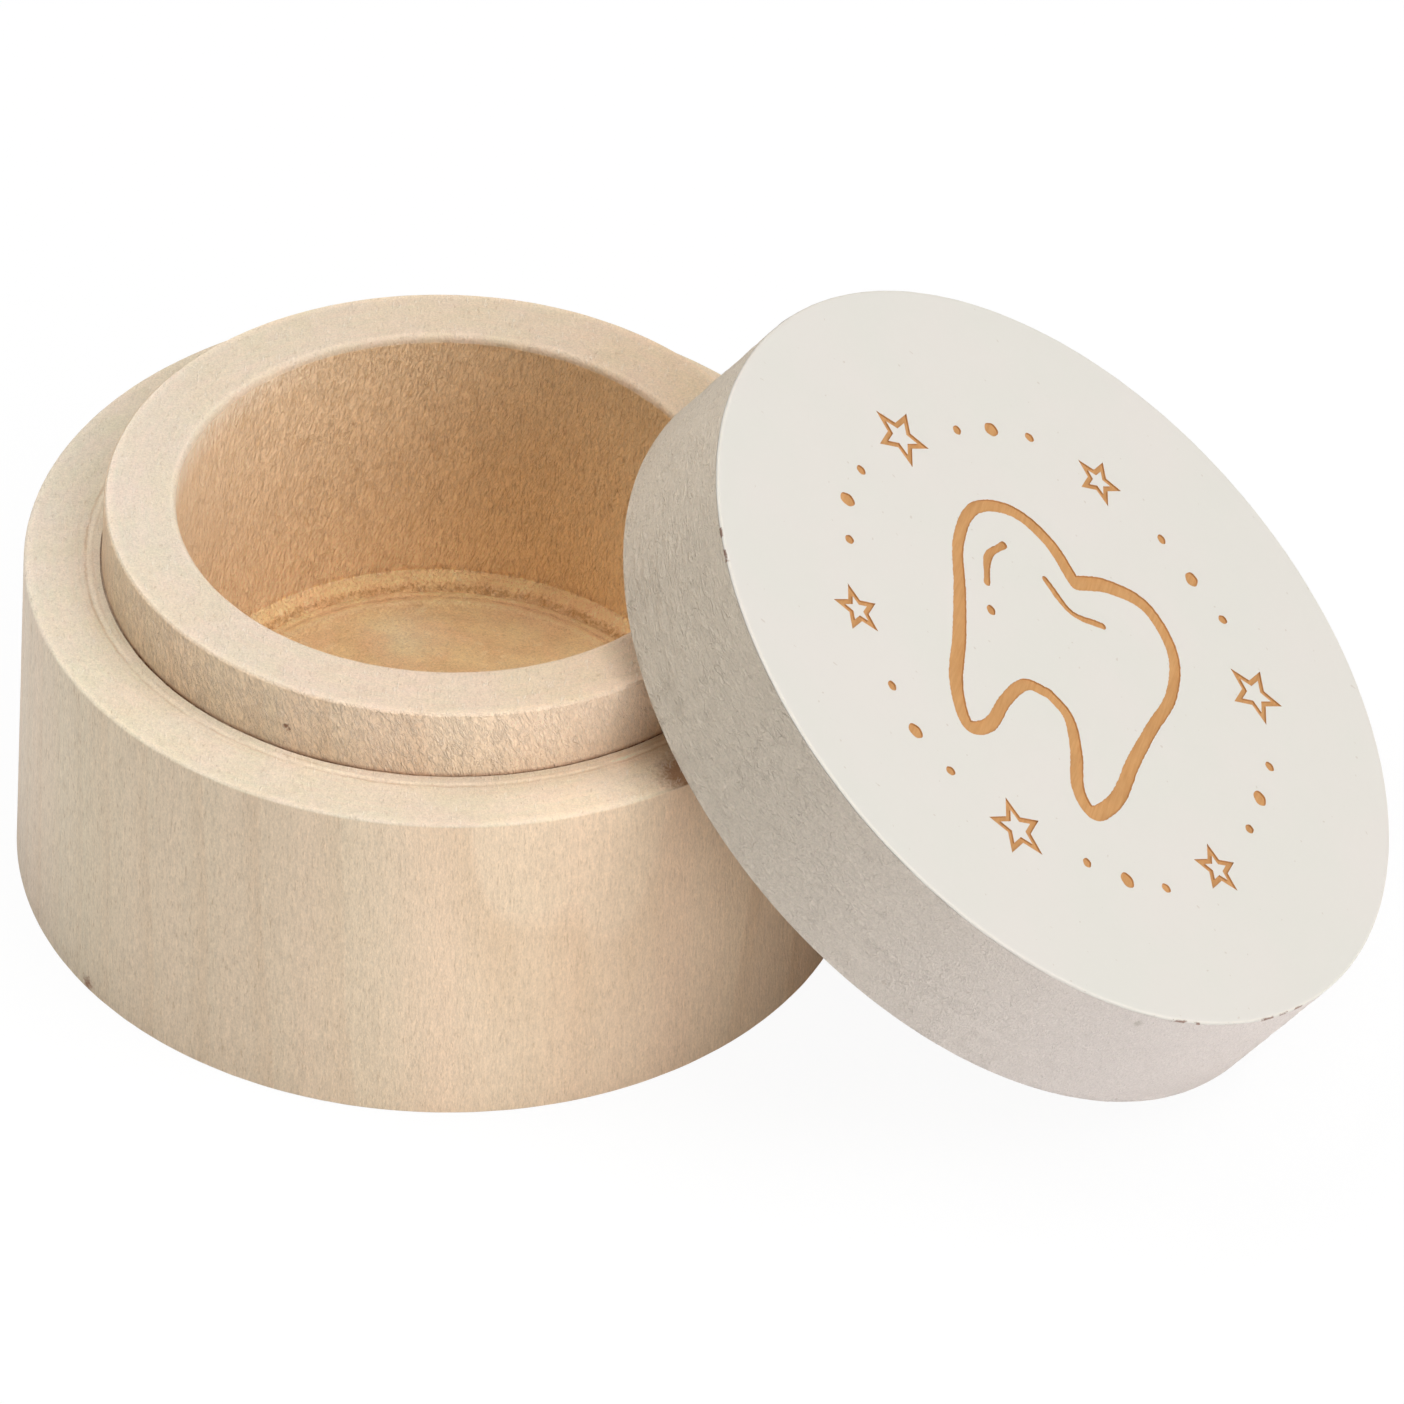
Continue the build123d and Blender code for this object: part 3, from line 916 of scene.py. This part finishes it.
def lid_relief(region, turn, length, widest, height, radius):
    """Relief and marks of a region of the lid."""
    inside = region in ("ceiling", "recess")
    side = region in ("side", "low_edge", "rim")
    out = np.zeros_like(turn)
    wear = np.zeros_like(turn)
    edge = np.zeros_like(turn)
    if region == "side":
        wisps = fibres(turn, length, widest, 1.6, 0.35, seed=31, slant=0.4)
        tufts = fibres(turn, length, widest, 0.5, 0.5, seed=37)
        strength = 0.6 + 0.4 * fibres(turn, length, widest, 6, 4, seed=41)
        out = wisp_depth * wisps * strength + tuft_depth * tufts - side_inset
    if inside:
        torn = fibres(turn, length, widest, 0.4, 0.6, seed=43)
        out = recess_depth_of_cut * torn * np.clip(radius / widest, 0, 1) ** 2
    if region in ("edge", "side", "top"):
        wear = sum(share * bump_round(turn, angle, spread) for angle, spread, share in edge_chips)
    if region == "edge":
        # The edge mark places the painted highlight on the rounded upper edge
        rise = np.arctan2(height - (lid_thickness - top_edge_round), radius - (outer_radius - top_edge_round))
        edge = edge + np.exp(-(((rise - math.radians(50)) / math.radians(20)) ** 2))
        out = out + edge_depth_of_cut * fibres(turn, length, widest, 0.8, 0.3, seed=59)
    if region == "rim":
        out = rim_depth_of_cut * fibres(turn, length, widest, 0.7, 0.7, seed=53)
    return out, {"side": float(side), "bare": float(inside), "wear": np.clip(wear, 0, 1), "edge": edge}


lid_points, lid_faces, lid_marks = turned_mesh(lid_runs, lid_relief)
disc_points, disc_faces, disc_slots = engraved_disc(flat_radius, lid_thickness)

# The disc's outer corners are the same places as the last ring of the turned part, and are joined to it
ring_start = len(lid_points) - segments
turn_of = np.arctan2(disc_points[:, 1], disc_points[:, 0])
ring_tolerance = 0.002
on_ring = np.abs(np.hypot(disc_points[:, 0], disc_points[:, 1]) - flat_radius) < ring_tolerance
ring_index = np.round(turn_of / (2 * math.pi) * segments).astype(int) % segments
new_index = np.zeros(len(disc_points), int)
new_index[on_ring] = ring_start + ring_index[on_ring]
new_index[~on_ring] = len(lid_points) + np.arange((~on_ring).sum())
all_points = np.concatenate([lid_points, disc_points[~on_ring]])
all_faces = lid_faces + [[int(new_index[i]) for i in face] for face in disc_faces]
all_slots = [0] * len(lid_faces) + disc_slots
extra = int((~on_ring).sum())
all_marks = {label: np.concatenate([values, np.zeros(extra)]) for label, values in lid_marks.items()}
lid = as_object("lid_turned", all_points, all_faces, all_marks, [lid_paint(), engraved_wood()], all_slots)
lid.matrix_world = lid_place
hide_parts("lid")
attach(lid, "lid")


# Floor, light and camera

def lit_table(name, albedo, glow, near, far):
    """White table that keeps a share of the shadows near the object for the eye, and is all white far off.

    near and far are distances from the object in millimetres.
    """
    n = Nodes(name)
    n.shader.inputs["Base Color"].default_value = (albedo, albedo, albedo, 1)
    n.shader.inputs["Roughness"].default_value = 0.9
    n.shader.inputs["Specular IOR Level"].default_value = 0.0
    away = n.add("VectorMath", {0: n.mm}, operation="LENGTH").outputs["Value"]
    seen = n.add("LightPath").outputs["Is Camera Ray"]
    share = n.product(seen, n.span(away, near, far, glow, 1.0))
    blend = n.add("MixShader", {0: share, 1: n.shader.outputs[0], 2: n.add("Emission").outputs[0]})
    n.tree.links.new(blend.outputs[0], n.tree.nodes["Material Output"].inputs["Surface"])
    return n.material


floor_half = 3000 * MM
floor_mesh = bpy.data.meshes.new("floor")
floor_corners = [(x * floor_half, y * floor_half, 0) for x, y in ((-1, -1), (1, -1), (1, 1), (-1, 1))]
floor_mesh.from_pydata(floor_corners, [], [(0, 1, 2, 3)])
floor_mesh.materials.append(lit_table("floor_white", albedo=0.95, glow=0.94, near=120, far=500))
floor = bpy.data.objects.new("floor", floor_mesh)
bpy.context.scene.collection.objects.link(floor)


def softbox(name, place, aim, size, power):
    """Square area light that looks at a point."""
    light = bpy.data.lights.new(name, "AREA")
    light.shape = "SQUARE"
    light.size = size
    light.energy = power
    holder = bpy.data.objects.new(name, light)
    holder.visible_camera = False
    holder.location = place
    holder.rotation_mode = "QUATERNION"
    holder.rotation_quaternion = (Vector(aim) - Vector(place)).to_track_quat("-Z", "Y")
    bpy.context.scene.collection.objects.link(holder)


light_distance = 1.2
light_aim = (0.01, 0, 0.01)
# Name: angle round the object and angle above the floor in degrees, size, power
softboxes = {
    "overhead_softbox": (0, 80, 0.8, 4.3),
    "right_softbox": (-18, 50, 0.7, 4.5),
    "left_softbox": (180, 50, 0.6, 6.8),
    "back_softbox": (90, 50, 0.6, 1.4),
    "front_softbox": (-75, 50, 0.6, 1.0),
    "low_right_softbox": (-10, 22, 0.6, 4.2),
    "low_front_softbox": (-50, 22, 0.6, 3.0),
}
for name, (around, above, size, power) in softboxes.items():
    around, above = math.radians(around), math.radians(above)
    place = Vector((math.cos(above) * math.cos(around), math.cos(above) * math.sin(around), math.sin(above)))
    softbox(name, place * light_distance, light_aim, size, power)

world = bpy.data.worlds.new("studio")
world.use_nodes = True
bpy.context.scene.world = world
air = world.node_tree
ambient_strength, seen_strength = 0.03, 1.0
background = air.nodes["Background"]
ray = air.nodes.new("ShaderNodeLightPath")
level = air.nodes.new("ShaderNodeMapRange")
level.inputs["To Min"].default_value = ambient_strength
level.inputs["To Max"].default_value = seen_strength
air.links.new(ray.outputs["Is Camera Ray"], level.inputs["Value"])
air.links.new(level.outputs[0], background.inputs["Strength"])
background.inputs["Color"].default_value = (1, 1, 1, 1)

# Camera: its place, lens and sensor in millimetres, and the way it looks in degrees
camera_place = (146.596, -630.612, 529.253)
camera_lens = 360.84
camera_sensor = 36
view_azimuth, view_elevation, view_roll = map(math.radians, (11.731, 38.663, 2.419))
forward = Vector((-math.sin(view_azimuth) * math.cos(view_elevation),
                  math.cos(view_azimuth) * math.cos(view_elevation), -math.sin(view_elevation)))
level_right = Vector((math.cos(view_azimuth), math.sin(view_azimuth), 0))
level_up = level_right.cross(forward)
right = level_right * math.cos(view_roll) + level_up * math.sin(view_roll)
up = level_up * math.cos(view_roll) - level_right * math.sin(view_roll)
camera_data = bpy.data.cameras.new("camera")
camera_data.sensor_width = camera_sensor
camera_data.lens = camera_lens
camera = bpy.data.objects.new("camera", camera_data)
camera.matrix_world = Matrix((right, up, -forward)).transposed().to_4x4()
camera.matrix_world.translation = Vector(camera_place) * MM
bpy.context.scene.collection.objects.link(camera)
bpy.context.scene.camera = camera
bpy.context.scene.view_settings.view_transform = "Standard"
